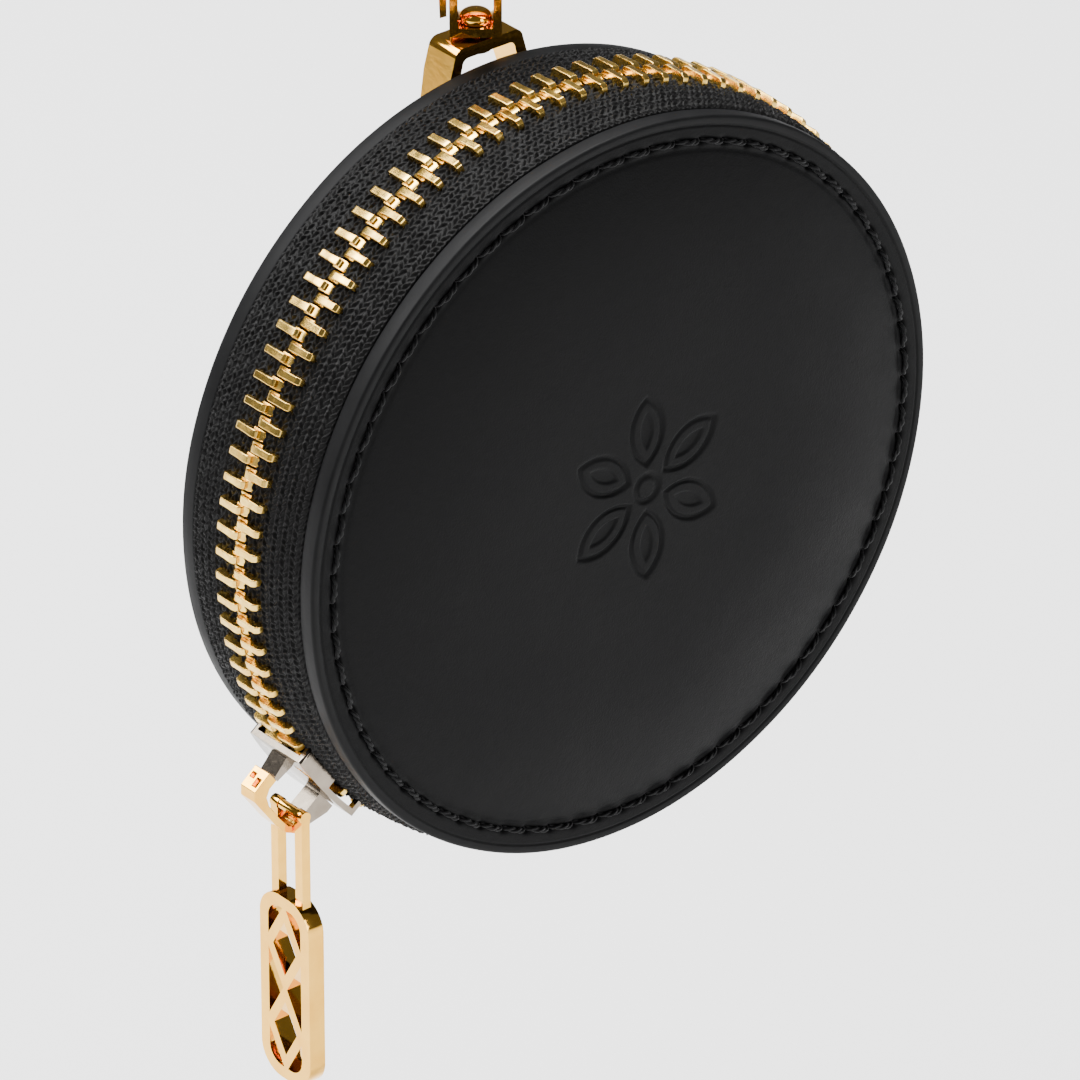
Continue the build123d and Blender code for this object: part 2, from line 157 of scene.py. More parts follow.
class Shells:
    """Collects closed shells that become one mesh."""

    def __init__(self):
        self.verts = []
        self.faces = []

    def add(self, verts, faces):
        base = len(self.verts)
        self.verts += [tuple(v) for v in verts]
        self.faces += [tuple(base + i for i in face) for face in faces]

    def tube(self, path, radius, sides=8):
        """A round tube along points, its ends capped."""
        path = np.asarray(path, float)
        n = len(path)
        ahead = np.roll(path, -1, 0) - np.roll(path, 1, 0)
        ahead[0] = path[1] - path[0]
        ahead[-1] = path[-1] - path[-2]
        ahead /= np.linalg.norm(ahead, axis=1)[:, None]
        side = np.cross(ahead[0], (0.0, 1.0, 0.0))
        if np.linalg.norm(side) < 0.2:
            side = np.cross(ahead[0], (1.0, 0.0, 0.0))
        rings = []
        turn = 2 * np.pi * np.arange(sides) / sides
        for k in range(n):
            side = side - ahead[k] * side.dot(ahead[k])
            side /= np.linalg.norm(side)
            up = np.cross(ahead[k], side)
            rings.append(path[k] + radius * (np.outer(np.cos(turn), side) + np.outer(np.sin(turn), up)))
        faces = grid_faces(n, sides, wrap_cols=True)
        faces += [tuple(range(sides))[::-1], tuple((n - 1) * sides + i for i in range(sides))]
        self.add(np.concatenate(rings), faces)

    def build(self, name, materials):
        return recalc(make_object(name, self.verts, self.faces, materials))


def smooth_step(x, low, high):
    t = np.clip((x - low) / (high - low), 0, 1)
    return t * t * (3 - 2 * t)


# ---------------------------------------------------------------- materials
def new_material(name, colour, roughness, metallic=0.0, **shader):
    material = bpy.data.materials.new(name)
    material.use_nodes = True
    nodes = material.node_tree.nodes
    principled = nodes["Principled BSDF"]
    principled.inputs["Base Color"].default_value = (*colour, 1)
    principled.inputs["Roughness"].default_value = roughness
    principled.inputs["Metallic"].default_value = metallic
    for key, value in shader.items():
        principled.inputs[key.replace("_", " ").title().replace("Ior", "IOR")].default_value = value
    return material


class Nodes:
    """Short names for building one material's node tree."""

    def __init__(self, material):
        self.tree = material.node_tree
        self.shader = self.tree.nodes["Principled BSDF"]
        self.where = self.tree.nodes.new("ShaderNodeTexCoord").outputs["Object"]

    def link(self, source, target):
        self.tree.links.new(source, target)

    def mapped(self, scale):
        node = self.tree.nodes.new("ShaderNodeMapping")
        node.inputs["Scale"].default_value = scale
        self.link(self.where, node.inputs["Vector"])
        return node.outputs["Vector"]

    def noise(self, scale, detail=3, roughness=0.55, vector=None):
        node = self.tree.nodes.new("ShaderNodeTexNoise")
        node.inputs["Scale"].default_value = scale
        node.inputs["Detail"].default_value = detail
        node.inputs["Roughness"].default_value = roughness
        self.link(vector or self.where, node.inputs["Vector"])
        return node.outputs["Fac"]

    def cells(self, scale):
        node = self.tree.nodes.new("ShaderNodeTexVoronoi")
        node.feature = "F1"
        node.inputs["Scale"].default_value = scale
        self.link(self.where, node.inputs["Vector"])
        return node.outputs["Distance"]

    def ramp(self, factor, low, high, at=(0.0, 1.0)):
        node = self.tree.nodes.new("ShaderNodeMapRange")
        node.inputs["From Min"].default_value = at[0]
        node.inputs["From Max"].default_value = at[1]
        node.inputs["To Min"].default_value = low
        node.inputs["To Max"].default_value = high
        self.link(factor, node.inputs["Value"])
        return node.outputs["Result"]

    def mix_colour(self, factor, first, second):
        node = self.tree.nodes.new("ShaderNodeMix")
        node.data_type = "RGBA"
        node.inputs[6].default_value = (*first, 1)
        node.inputs[7].default_value = (*second, 1)
        self.link(factor, node.inputs[0])
        return node.outputs[2]

    def math(self, kind, first, second):
        node = self.tree.nodes.new("ShaderNodeMath")
        node.operation = kind
        for socket, value in zip(node.inputs, (first, second)):
            if isinstance(value, (int, float)):
                socket.default_value = value
            else:
                self.link(value, socket)
        return node.outputs["Value"]

    def bump(self, height, distance, strength=1.0, after=None):
        node = self.tree.nodes.new("ShaderNodeBump")
        node.inputs["Strength"].default_value = strength
        node.inputs["Distance"].default_value = distance
        self.link(height, node.inputs["Height"])
        if after:
            self.link(after, node.inputs["Normal"])
        return node.outputs["Normal"]

    def set(self, socket, value):
        self.link(value, self.shader.inputs[socket])


BLACK_GLOSS = 0.085         # specular level of the leather and its painted edges


def leather_material(name, dark, light, rough_low, rough_high, grain=1.0):
    """Smooth black calf: fine pores, faint creases, and slightly uneven sheen."""
    material = new_material(name, dark, rough_low, specular_ior_level=BLACK_GLOSS)
    n = Nodes(material)
    cloud = n.noise(90, 4, 0.6)
    pores = n.cells(5200)
    creases = n.noise(1500, 5, 0.65)
    n.set("Base Color", n.mix_colour(n.ramp(cloud, 0, 1, (0.3, 0.7)), dark, light))
    n.set("Roughness", n.ramp(n.math("ADD", cloud, n.math("MULTIPLY", creases, 0.5)),
                              rough_low, rough_high, (0.45, 1.05)))
    fine = n.bump(pores, 0.00003 * grain, 0.55)
    wide = n.bump(creases, 0.00005 * grain, 0.5, fine)
    n.set("Normal", n.bump(cloud, 0.0004, 0.25, wide))
    return material


def edge_paint_material():
    """Rubbery black paint on the cut edges: smoother than the leather, with brush waviness."""
    material = new_material("edge_paint", (0.004, 0.004, 0.0042), 0.42, specular_ior_level=0.10)
    n = Nodes(material)
    waves = n.noise(240, 3, 0.5)
    dust = n.noise(2600, 2, 0.5)
    n.set("Base Color", n.mix_colour(n.ramp(waves, 0, 1, (0.35, 0.7)), (0.0035, 0.0035, 0.0037),
                                     (0.006, 0.006, 0.0063)))
    n.set("Roughness", n.ramp(waves, 0.48, 0.60, (0.3, 0.7)))
    n.set("Normal", n.bump(dust, 0.00002, 0.4, n.bump(waves, 0.0002, 0.35)))
    return material


def cloth_material(name, dark, light, fibre=5200, sheen=0.25, rough=0.8):
    """Spun fibre: streaky fine noise over whatever weave the geometry has."""
    material = new_material(name, dark, rough, sheen_weight=sheen, sheen_roughness=0.4,
                            specular_ior_level=0.12)
    n = Nodes(material)
    strands = n.noise(fibre, 4, 0.7)
    patch = n.noise(400, 2, 0.5)
    n.set("Base Color", n.mix_colour(n.ramp(strands, 0, 1, (0.35, 0.68)), dark, light))
    n.set("Roughness", n.ramp(patch, rough - 0.1, rough + 0.08, (0.3, 0.7)))
    n.set("Normal", n.bump(strands, 0.00006, 0.7))
    return material


def twill_material(name, dark, light):
    """Fine diagonal twill for the lining."""
    material = new_material(name, dark, 0.75, sheen_weight=0.2)
    n = Nodes(material)
    wave = n.tree.nodes.new("ShaderNodeTexWave")
    wave.bands_direction = "DIAGONAL"
    wave.inputs["Scale"].default_value = 700
    wave.inputs["Distortion"].default_value = 0.6
    wave.inputs["Detail"].default_value = 1
    n.link(n.where, wave.inputs["Vector"])
    fibre = n.noise(4200, 3, 0.6)
    ribs = n.math("ADD", wave.outputs["Fac"], n.math("MULTIPLY", fibre, 0.6))
    n.set("Base Color", n.mix_colour(n.ramp(ribs, 0, 1, (0.3, 1.3)), dark, light))
    n.set("Roughness", n.ramp(fibre, 0.68, 0.86))
    n.set("Normal", n.bump(ribs, 0.00008, 0.6))
    return material


def metal_material(name, colour, tint, rough_low, rough_high, brushed=None, bump=0.00001, scale=300):
    """Plated metal: near-mirror with small waves, hairlines and duller patches."""
    material = new_material(name, colour, rough_low, metallic=1.0)
    n = Nodes(material)
    patch = n.noise(scale, 3, 0.55)
    vector = n.mapped(brushed) if brushed else None
    lines = n.noise(1800, 3, 0.6, vector)
    n.set("Base Color", n.mix_colour(n.ramp(patch, 0, 1, (0.35, 0.65)), colour, tint))
    n.set("Roughness", n.ramp(n.math("ADD", patch, n.math("MULTIPLY", lines, 0.6)),
                              rough_low, rough_high, (0.55, 1.05)))
    n.set("Normal", n.bump(lines, bump, 0.5, n.bump(patch, bump * 3, 0.3)))
    return material


LEATHER = leather_material("black_calf", (0.0018, 0.0018, 0.0019), (0.0032, 0.0032, 0.0034),
                           0.52, 0.64)
BACK_LEATHER = leather_material("black_calf_back", (0.0022, 0.0022, 0.0024), (0.0040, 0.0040, 0.0043),
                                0.46, 0.58)
STRIP_LEATHER = leather_material("strip_leather", (0.0024, 0.0024, 0.0026), (0.0046, 0.0045, 0.0047),
                                 0.4, 0.55, 1.4)
EDGE = edge_paint_material()
THREAD = cloth_material("black_thread", (0.0018, 0.0018, 0.002), (0.008, 0.008, 0.0084),
                        7000, 0.08, 0.5)
TAPE = cloth_material("black_tape", (0.0010, 0.0009, 0.0009), (0.0055, 0.0051, 0.0050),
                      5600, 0.02, 0.5)
LINING = twill_material("black_lining", (0.010, 0.010, 0.011), (0.030, 0.030, 0.032))
BOARD = cloth_material("fibre_board", (0.30, 0.26, 0.20), (0.42, 0.37, 0.29), 1500, 0.0, 0.85)
GOLD = metal_material("polished_gold", (0.96, 0.53, 0.08), (0.88, 0.45, 0.06), 0.06, 0.15)
TEETH_GOLD = metal_material("teeth_gold", (0.97, 0.66, 0.17), (0.80, 0.49, 0.10), 0.15, 0.32,
                            brushed=(0.35, 0.10, 0.35), bump=0.000012, scale=1300)
# Slider nickel: base colour kept well below bare nickel, partly its own warm tone and partly painted shade
# standing in for the dark surroundings it reflects
NICKEL_WITH_PAINTED_SHADE = metal_material("pale_nickel", (0.31, 0.265, 0.21), (0.22, 0.18, 0.14), 0.10, 0.2, bump=0.000003)
STEEL = metal_material("spring_steel", (0.55, 0.55, 0.57), (0.45, 0.45, 0.47), 0.25, 0.4)


# ---------------------------------------------------------------- leather panels
MARK_CENTRE = (0.7, 0.9)
MARK_R = 9.9
MARK_DEPTH = 0.24


def rosette(x, z):
    """Depth pattern of a plain pressed rosette: six ribbed petals round a small ring."""
    x = x - MARK_CENTRE[0]
    z = z - MARK_CENTRE[1]
    r = np.hypot(x, z)
    sixth = np.pi / 3
    a = (np.arctan2(z, x) + sixth / 2 + np.pi / 6) % sixth - sixth / 2
    along = r * np.cos(a)
    across = np.abs(r * np.sin(a))
    inner, outer = 2.3, MARK_R
    half = (outer - inner) / 2
    bow = 2.15
    arc_r = (half ** 2 + bow ** 2) / (2 * bow)
    edge = arc_r - np.hypot(along - (inner + half), across + arc_r - bow)
    petal = smooth_step(edge, -0.12, 0.22)
    rib = smooth_step(0.62 - np.abs(edge - 0.95), 0.0, 0.25) * smooth_step(edge, 0.2, 0.6)
    ring = smooth_step(0.42 - np.abs(r - 1.35), 0.0, 0.25)
    return MARK_DEPTH * (petal * (1 - 0.75 * rib) + 0.8 * ring)


def stitch_dips(r, degrees):
    """The leather sinks a little along the seam and deeply at each needle hole."""
    seam = np.exp(-((r - STITCH_R) / 0.42) ** 2)
    off = (degrees + PITCH / 2) % PITCH - PITCH / 2
    hole = np.hypot((r - STITCH_R) / 0.34, off * np.pi / 180 * STITCH_R / 0.42)
    return 0.16 * seam + 0.55 * np.exp(-hole ** 2)


def panel_height(r, degrees, dome):
    """Height of a panel's outer face over the inner face of its rim."""
    t = np.clip(r / DOME_R, 0, 1)
    rise = dome * (1 - t ** 4.3)
    foot = 0.10 * np.exp(-((r - DOME_R - 0.1) / 0.22) ** 2)
    crease = 0.11 * np.exp(-((r - (DISC_R - 1.0)) / 0.11) ** 2)
    return PANEL_T + rise - foot - crease - stitch_dips(r, degrees)


def make_panel(name, side, dome, mark, material):
    """One leather disc: pressed face, sewn rim, painted round edge and flat inner face."""
    fine, coarse = STITCHES * 15, STITCHES * 5
    inner_r = np.concatenate([np.arange(0.25, 11.3, 0.2), np.linspace(11.6, 32.6, 22)])
    outer_r = np.concatenate([np.arange(33.0, DOME_R + 0.3, 0.2), np.arange(DOME_R + 0.35, 36.2, 0.11),
                              np.arange(36.3, DISC_R - 0.72, 0.09)])
    verts = [np.array([[0.0, 0.0, 0.0]])]
    deg_c = np.arange(coarse) * 360 / coarse
    deg_f = np.arange(fine) * 360 / fine
    for r in inner_r:
        verts.append(polar(r, deg_c, INNER_Y + panel_height(r, deg_c, dome)))
    for r in outer_r:
        verts.append(polar(r, deg_f, INNER_Y + panel_height(r, deg_f, dome)))
    round_r = 0.34
    ease = 0.05 * np.sin(np.radians(deg_f * 7)) + 0.04 * np.sin(np.radians(deg_f * 13 + 40))
    edge = [(DISC_R - round_r + round_r * math.sin(t), HALF_T - round_r + round_r * math.cos(t))
            for t in np.radians(np.arange(0, 91, 15))]
    edge += [(DISC_R + 0.03, HALF_T - 0.9), (DISC_R + 0.03, INNER_Y + 0.9)]
    edge += [(DISC_R - round_r + round_r * math.cos(t), INNER_Y + round_r - round_r * math.sin(t))
             for t in np.radians(np.arange(0, 91, 15))]
    first_edge = len(outer_r)
    for r, y in edge:
        verts.append(polar(r + ease * 0.35, deg_f, y))
    for r in (36.0, 30.0, 15.0):
        verts.append(polar(r, deg_f, INNER_Y))
    rings_f = len(outer_r) + len(edge) + 3
    points = np.concatenate(verts)
    points[0] = (0, INNER_Y + float(panel_height(np.array(0.0), np.array(0.0), dome)), 0)
    if mark:
        points[:, 1] -= rosette(points[:, 0], points[:, 2]) * (points[:, 1] > HALF_T + 0.5)
    faces = [(0, 1 + (j + 1) % coarse, 1 + j) for j in range(coarse)]
    faces += [f[::-1] for f in grid_faces(len(inner_r), coarse, True, start=1)]
    last_c = 1 + (len(inner_r) - 1) * coarse
    base_f = 1 + len(inner_r) * coarse
    for j in range(coarse):
        k = 3 * j
        faces.append((last_c + j, last_c + (j + 1) % coarse, base_f + (k + 3) % fine, base_f + k + 2,
                      base_f + k + 1, base_f + k))
    faces += [f[::-1] for f in grid_faces(rings_f, fine, True, start=base_f)]
    last_f = base_f + (rings_f - 1) * fine
    faces.append(tuple(range(last_f, last_f + fine)))
    groups = np.zeros(len(faces), np.int32)
    edge_start = coarse + (len(inner_r) - 1) * coarse + coarse + (first_edge - 1) * fine
    groups[edge_start:edge_start + (len(edge) + 1) * fine] = 1
    if side < 0:
        points = points * np.array([1, -1, 1])
    obj = make_object(name, points, faces, [material, EDGE], groups=groups)
    return recalc(obj)


front_face = make_panel("front_face", -1, DOME_H, True, LEATHER)
settle(front_face, "purse_front", "black_leather", "front_panel", "front_padding")
back_face = make_panel("back_face", 1, 0.25, False, BACK_LEATHER)
settle(back_face, "purse_back", "black_leather", "back_panel")


# ---------------------------------------------------------------- stitches
def twisted_stitch(shells, middle, ahead, side, out, length, rise, dive=0.5, turns=1.5, lean=0.12):
    """Two plies twisted round each other, rising out of one hole and diving into the next."""
    middle, ahead, side, out = (np.array(v, float) for v in (middle, ahead, side, out))
    t = np.linspace(0, 1, 15)
    arch = np.clip(np.sin(np.pi * t), 0, 1) ** 0.55
    base = (middle + np.outer((t - 0.5) * length, ahead) + np.outer((t - 0.5) * 2 * lean, side)
            + np.outer(arch * (rise + dive) - dive, out))
    for ply in (0, np.pi):
        spin = ply + t * turns * 2 * np.pi
        path = base + 0.135 * (np.outer(np.cos(spin), side) + np.outer(np.sin(spin), out))
        shells.tube(path, 0.165, 6)


RIM_STITCH = 2.95           # length of one stitch round the rims


def rim_thread(name, side, body, node):
    shells = Shells()
    for k in range(STITCHES):
        a = math.radians((k + 0.5) * PITCH)
        radial = (math.cos(a), 0, math.sin(a))
        ahead = (-math.sin(a), 0, math.cos(a))
        middle = (STITCH_R * radial[0], side * (HALF_T - 0.1), STITCH_R * radial[2])
        wobble = 0.05 * math.sin(k * 2.3)
        twisted_stitch(shells, middle, ahead, radial, (0, side, 0), RIM_STITCH, 0.22 + wobble * 0.6,
                       lean=0.1 + wobble)
    return settle(shells.build(name, [THREAD]), body, "thread", node)


rim_thread("front_rim_thread", -1, "purse_front", "front_stitching")
rim_thread("back_rim_thread", 1, "purse_back", "back_stitching")


# ---------------------------------------------------------------- zip tapes
TAPE_R = 38.3
ZIP_START, ZIP_END = -53.0, 233.0
SLIDER_AT = 217.0
RIB_W = 0.62                # width of one column of the weave
KNOT = 0.74                 # length of one float along the column
SEAM_R = 33.5               # inner edge of the sewn seam flange
PARTING = 0.95              # how far the slider has moved each tape's edge off the middle


def make_zip_tape(name, side, body, node):
    """Woven tape: herringbone columns along it, a raised cord under the teeth, and a seam flange."""
    path = [(TAPE_R - 0.25, 0.62), (TAPE_R - 0.02, 0.42), (TAPE_R + 0.32, 0.5), (TAPE_R + 0.5, 0.95),
            (TAPE_R + 0.45, 1.6), (TAPE_R + 0.33, 2.3), (TAPE_R + 0.30, 3.1), (TAPE_R + 0.28, 4.2),
            (TAPE_R + 0.18, 5.4), (TAPE_R + 0.04, 6.4), (TAPE_R - 0.10, 7.3), (TAPE_R - 0.20, 7.96)]
    path = np.array(path)
    along = np.concatenate([[0], np.cumsum(np.linalg.norm(np.diff(path, axis=0), axis=1))])
    samples = np.linspace(0, along[-1], 92)
    prof_r = np.interp(samples, along, path[:, 0])
    prof_y = np.interp(samples, along, path[:, 1])
    kernel = np.ones(5) / 5
    prof_r[2:-2] = np.convolve(prof_r, kernel, "valid")
    n_arc = 1900
    degrees = np.linspace(ZIP_START - 2.2, ZIP_END + 1.2, n_arc)
    arc = np.radians(degrees) * TAPE_R
    s, t = np.meshgrid(arc, samples, indexing="ij")
    column = np.floor(t / RIB_W)
    within = t / RIB_W - column
    slant = np.where(column % 2 == 0, 1.0, -1.0)
    waver = (0.16 * np.sin(s * 1.9 + column * 2.1) + 0.2 * np.sin(s * 4.3 + column * 4.7)
             + 0.12 * np.sin(s * 9.7 + column * 8.3))
    phase = (s / KNOT + slant * (within - 0.5) * 0.9 + column * 0.37 + waver * 0.5) * 2 * np.pi
    knot = np.clip(0.5 + 0.62 * np.cos(phase), 0, 1)
    ridge = np.sin(np.pi * within) ** 0.8
    uneven = 1 + 0.22 * np.sin(s * 3.1 + column * 5.9) * np.cos(s * 7.7 + column * 3.3)
    lift = 0.34 * ridge * (0.12 + 0.88 * knot) * uneven - 0.16
    lift *= smooth_step(t, 0.3, 1.0)
    d, _ = np.meshgrid(degrees, samples, indexing="ij")
    near = smooth_step(d, SLIDER_AT - 9, SLIDER_AT - 1)
    part = PARTING * near * np.exp(-(np.meshgrid(arc, prof_y, indexing="ij")[1] / 3.2) ** 2)
    r = prof_r[None, :] + lift
    y = prof_y[None, :] + part
    top = np.stack([r * np.cos(np.radians(d)), side * y, r * np.sin(np.radians(d))], -1)
    under_path = [(TAPE_R - 0.9, INNER_Y - 0.06), (SEAM_R, INNER_Y - 0.06), (SEAM_R, INNER_Y - 0.55),
                  (TAPE_R - 1.6, INNER_Y - 0.6), (TAPE_R - 0.35, 4.2), (TAPE_R - 0.45, 1.2)]
    under_r = np.array([q[0] for q in under_path])
    under_y = np.array([q[1] for q in under_path])
    d2, r2 = np.meshgrid(degrees, under_r, indexing="ij")
    y2 = np.broadcast_to(under_y, r2.shape).copy()
    y2[:, -1] += PARTING * smooth_step(degrees, SLIDER_AT - 9, SLIDER_AT - 1)
    under = np.stack([r2 * np.cos(np.radians(d2)), side * y2, r2 * np.sin(np.radians(d2))], -1)
    points = np.concatenate([top, under], 1)
    cols = points.shape[1]
    faces = grid_faces(n_arc, cols, wrap_cols=True)
    faces += [tuple(range(cols)), tuple((n_arc - 1) * cols + i for i in range(cols))]
    obj = recalc(make_object(name, points.reshape(-1, 3), faces, [TAPE]))
    return settle(obj, body, "zip_tape", node)


make_zip_tape("front_woven_tape", -1, "purse_front", "front_tape")
make_zip_tape("back_woven_tape", 1, "purse_back", "back_tape")


# ---------------------------------------------------------------- zip teeth
TOOTH_PITCH, TOOTH_COUNT, TOOTH_FIRST = 3.75, 70, -44.0
TOOTH_TOP = 39.6
TOOTH_LOW = 37.1
TOOTH_TIP, TOOTH_END = -0.86, 3.12
PARTED_END = 3.95           # the last teeth stand parted inside the slider
STOP_AHEAD = 10.0           # degrees from the slider to the top stops
PARTED = {1: ((SLIDER_AT + 1.5, 0.55), (SLIDER_AT + 5.2, 0.98)), -1: ((SLIDER_AT + 3.4, 1.2),)}


def stamped_shell(shells, outline, half_width, degrees, side, lean, tip=TOOTH_TIP):
    """A (y, r) outline given a thickness along the chain, turned to its place on the rim.

    A parted tooth has its tip moved off the middle."""
    if tip != TOOTH_TIP:
        squeeze = (PARTED_END - tip) / (TOOTH_END - TOOTH_TIP)
        outline = [(tip + (y - TOOTH_TIP) * squeeze, r) for y, r in outline]
    a = math.radians(degrees)
    radial = np.array([math.cos(a), 0, math.sin(a)])
    ahead = np.array([-math.sin(a), 0, math.cos(a)])
    n = len(outline)
    verts = []
    for end in (-1, 1):
        for (y, r), w in zip(outline, half_width):
            verts.append(radial * r + ahead * (end * w + lean * (y - 1.2)) + np.array([0, side * y, 0]))
    faces = [(i, (i + 1) % n, n + (i + 1) % n, n + i) for i in range(n)]
    faces += [tuple(range(n))[::-1], tuple(range(n, 2 * n))]
    shells.add(verts, faces)


def tooth_shell(shells, degrees, side, lean, tip=TOOTH_TIP):
    """A stamped tooth: a square-ended leg on the tape, and a lower, fuller head with a raised bead."""
    leg = [(2.98, TOOTH_LOW + 0.3), (3.12, TOOTH_TOP - 0.85), (3.0, TOOTH_TOP - 0.34),
           (2.66, TOOTH_TOP - 0.07), (1.5, TOOTH_TOP - 0.06), (0.6, TOOTH_TOP),
           (0.1, TOOTH_TOP - 0.08), (-0.12, TOOTH_TOP - 0.36),
           (0.0, TOOTH_TOP - 0.9), (0.0, TOOTH_LOW + 0.35), (0.6, TOOTH_LOW)]
    stamped_shell(shells, leg, [0.36, 0.36, 0.37, 0.38, 0.38, 0.40, 0.42, 0.40, 0.40, 0.40, 0.40],
                  degrees, side, lean, tip)
    head = [(0.95, TOOTH_TOP - 0.66), (-0.25, TOOTH_TOP - 0.62), (-0.72, TOOTH_TOP - 0.8),
            (-0.86, TOOTH_TOP - 1.2), (-0.8, TOOTH_LOW + 0.5), (0.95, TOOTH_LOW + 0.4)]
    stamped_shell(shells, head, [0.56, 0.56, 0.48, 0.50, 0.50, 0.56], degrees, side, lean, tip)


def make_tooth_row(name, side, body, node):
    shells = Shells()
    offset = TOOTH_FIRST if side > 0 else TOOTH_FIRST + TOOTH_PITCH / 2
    for k in range(TOOTH_COUNT):
        tooth_shell(shells, offset + TOOTH_PITCH * k, side, 0.02 * math.sin(k * 1.7))
    for degrees, tip in PARTED[side]:
        tooth_shell(shells, degrees, side, 0.0, tip)
    obj = shells.build(name, [TEETH_GOLD])
    bevel(obj, 0.11, 3, 30)
    return settle(obj, body, "gold_teeth", node)


make_tooth_row("front_tooth_row", -1, "purse_front", "front_teeth")
make_tooth_row("back_tooth_row", 1, "purse_back", "back_teeth")


def make_top_stop(name, side, body, node):
    """A small staple pinched over the tape's edge where the slider halts."""
    shells = Shells()
    outline = [(1.3, 37.5), (2.35, 37.5), (2.5, 37.9), (2.5, 38.8), (2.3, 39.15), (1.35, 39.15),
               (1.2, 38.8), (1.2, 37.9)]
    stamped_shell(shells, outline, [0.48] * 8, SLIDER_AT + STOP_AHEAD, side, 0.0)
    obj = shells.build(name, [TEETH_GOLD])
    bevel(obj, 0.14, 3, 30)
    return settle(obj, body, "gold_teeth", node)


make_top_stop("front_stop", -1, "purse_front", "front_top_stop")
make_top_stop("back_stop", 1, "purse_back", "back_top_stop")

# ---------------------------------------------------------------- leather gusset between the zip's ends
GUSSET_START, GUSSET_END = ZIP_END - 1.3, 360 + ZIP_START + 1.3
GUSSET_R = 38.06
GUSSET_BACK_R = 36.7        # its inner face
FLANGE_R = 33.6             # inner edge of its turned flanges


def arc_strip(name, profile, degrees, materials, swell=None):
    """Sweep a closed (y, r) profile round the disc. swell(degrees, y, r) may move the radius."""
    profile = np.array(profile)
    d = np.asarray(degrees)[:, None]
    y = np.broadcast_to(profile[:, 0], (len(degrees), len(profile)))
    r = np.broadcast_to(profile[:, 1], y.shape).copy()
    if swell:
        r += swell(d, y, r)
    points = np.stack([r * np.cos(np.radians(d)), y, r * np.sin(np.radians(d))], -1)
    cols = len(profile)
    faces = grid_faces(len(degrees), cols, wrap_cols=True)
    faces += [tuple(range(cols)), tuple((len(degrees) - 1) * cols + i for i in range(cols))]
    return recalc(make_object(name, points.reshape(-1, 3), faces, materials))


def between_panels(obj, node):
    """Cloth or leather that joins both panels: baked in place, standing for its CAD node."""
    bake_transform(obj)
    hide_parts(node)
    return obj


def gusset_swell(degrees, y, r):
    """Folded, thicker ends, a soft belly, and small creases across the strip."""
    from_end = np.minimum(degrees - GUSSET_START, GUSSET_END - degrees)
    outer = r > (GUSSET_R + GUSSET_BACK_R) / 2
    fold = 0.16 * smooth_step(from_end, 3.6, 2.6) - 0.5 * np.clip(1 - from_end / 0.9, 0, 1) ** 2
    belly = 0.10 * np.cos(np.clip(y / INNER_Y, -1, 1) * np.pi / 2) * smooth_step(from_end, 2, 12)
    crease = 0.035 * np.sin(np.radians(degrees * 9) + y * 0.25) * np.cos(np.radians(degrees * 23) - y * 0.4)
    groove = -0.12 * np.exp(-((from_end - 3.9) / 0.35) ** 2)
    return np.where(outer, fold + belly + crease + groove, 0.0)


def make_gusset():
    ys = np.linspace(-INNER_Y + 0.02, INNER_Y - 0.02, 33)
    tuck = 0.3 * np.clip((np.abs(ys) - 6.9) / 1.0, 0, 1) ** 1.5
    profile = [(y, GUSSET_R - t) for y, t in zip(ys, tuck)]
    profile += [(INNER_Y - 0.02, FLANGE_R), (INNER_Y - 0.55, FLANGE_R), (INNER_Y - 0.6, GUSSET_BACK_R),
                (0.6 - INNER_Y, GUSSET_BACK_R), (0.55 - INNER_Y, FLANGE_R), (0.02 - INNER_Y, FLANGE_R)]
    tip = np.arange(0, 1, 0.12)
    degrees = np.concatenate([GUSSET_START + tip, np.arange(GUSSET_START + 1, GUSSET_END - 1, 0.25),
                              GUSSET_END - tip[::-1]])
    gusset = arc_strip("bottom_gusset", profile, degrees, [STRIP_LEATHER], gusset_swell)
    between_panels(gusset, "gusset")
    inner = np.linspace(-6.7, 6.7, 23)
    profile = [(y, 36.25 + 0.04 * math.sin(y * 2.2)) for y in inner] + [(6.7, 36.62), (-6.7, 36.62)]
    degrees = np.arange(GUSSET_START + 1.8, GUSSET_END - 1.6, 0.5)
    cloth = arc_strip("gusset_cloth", profile, degrees, [LINING],
                      lambda d, y, r: 0.05 * np.sin(np.radians(d * 31)) * np.cos(y * 1.1))
    between_panels(cloth, "gusset_lining")
    shells = Shells()
    for row in (GUSSET_START + 3.0, GUSSET_END - 3.0):
        a = math.radians(row)
        radial, ahead = (math.cos(a), 0, math.sin(a)), (-math.sin(a), 0, math.cos(a))
        for k in range(-2, 3):
            middle = ((GUSSET_R + 0.02) * radial[0], 2.75 * k, (GUSSET_R + 0.02) * radial[2])
            twisted_stitch(shells, middle, (0, 1, 0), ahead, radial, 2.35, 0.2, 0.4)
    between_panels(shells.build("gusset_thread", [THREAD]), "gusset_stitching")


make_gusset()


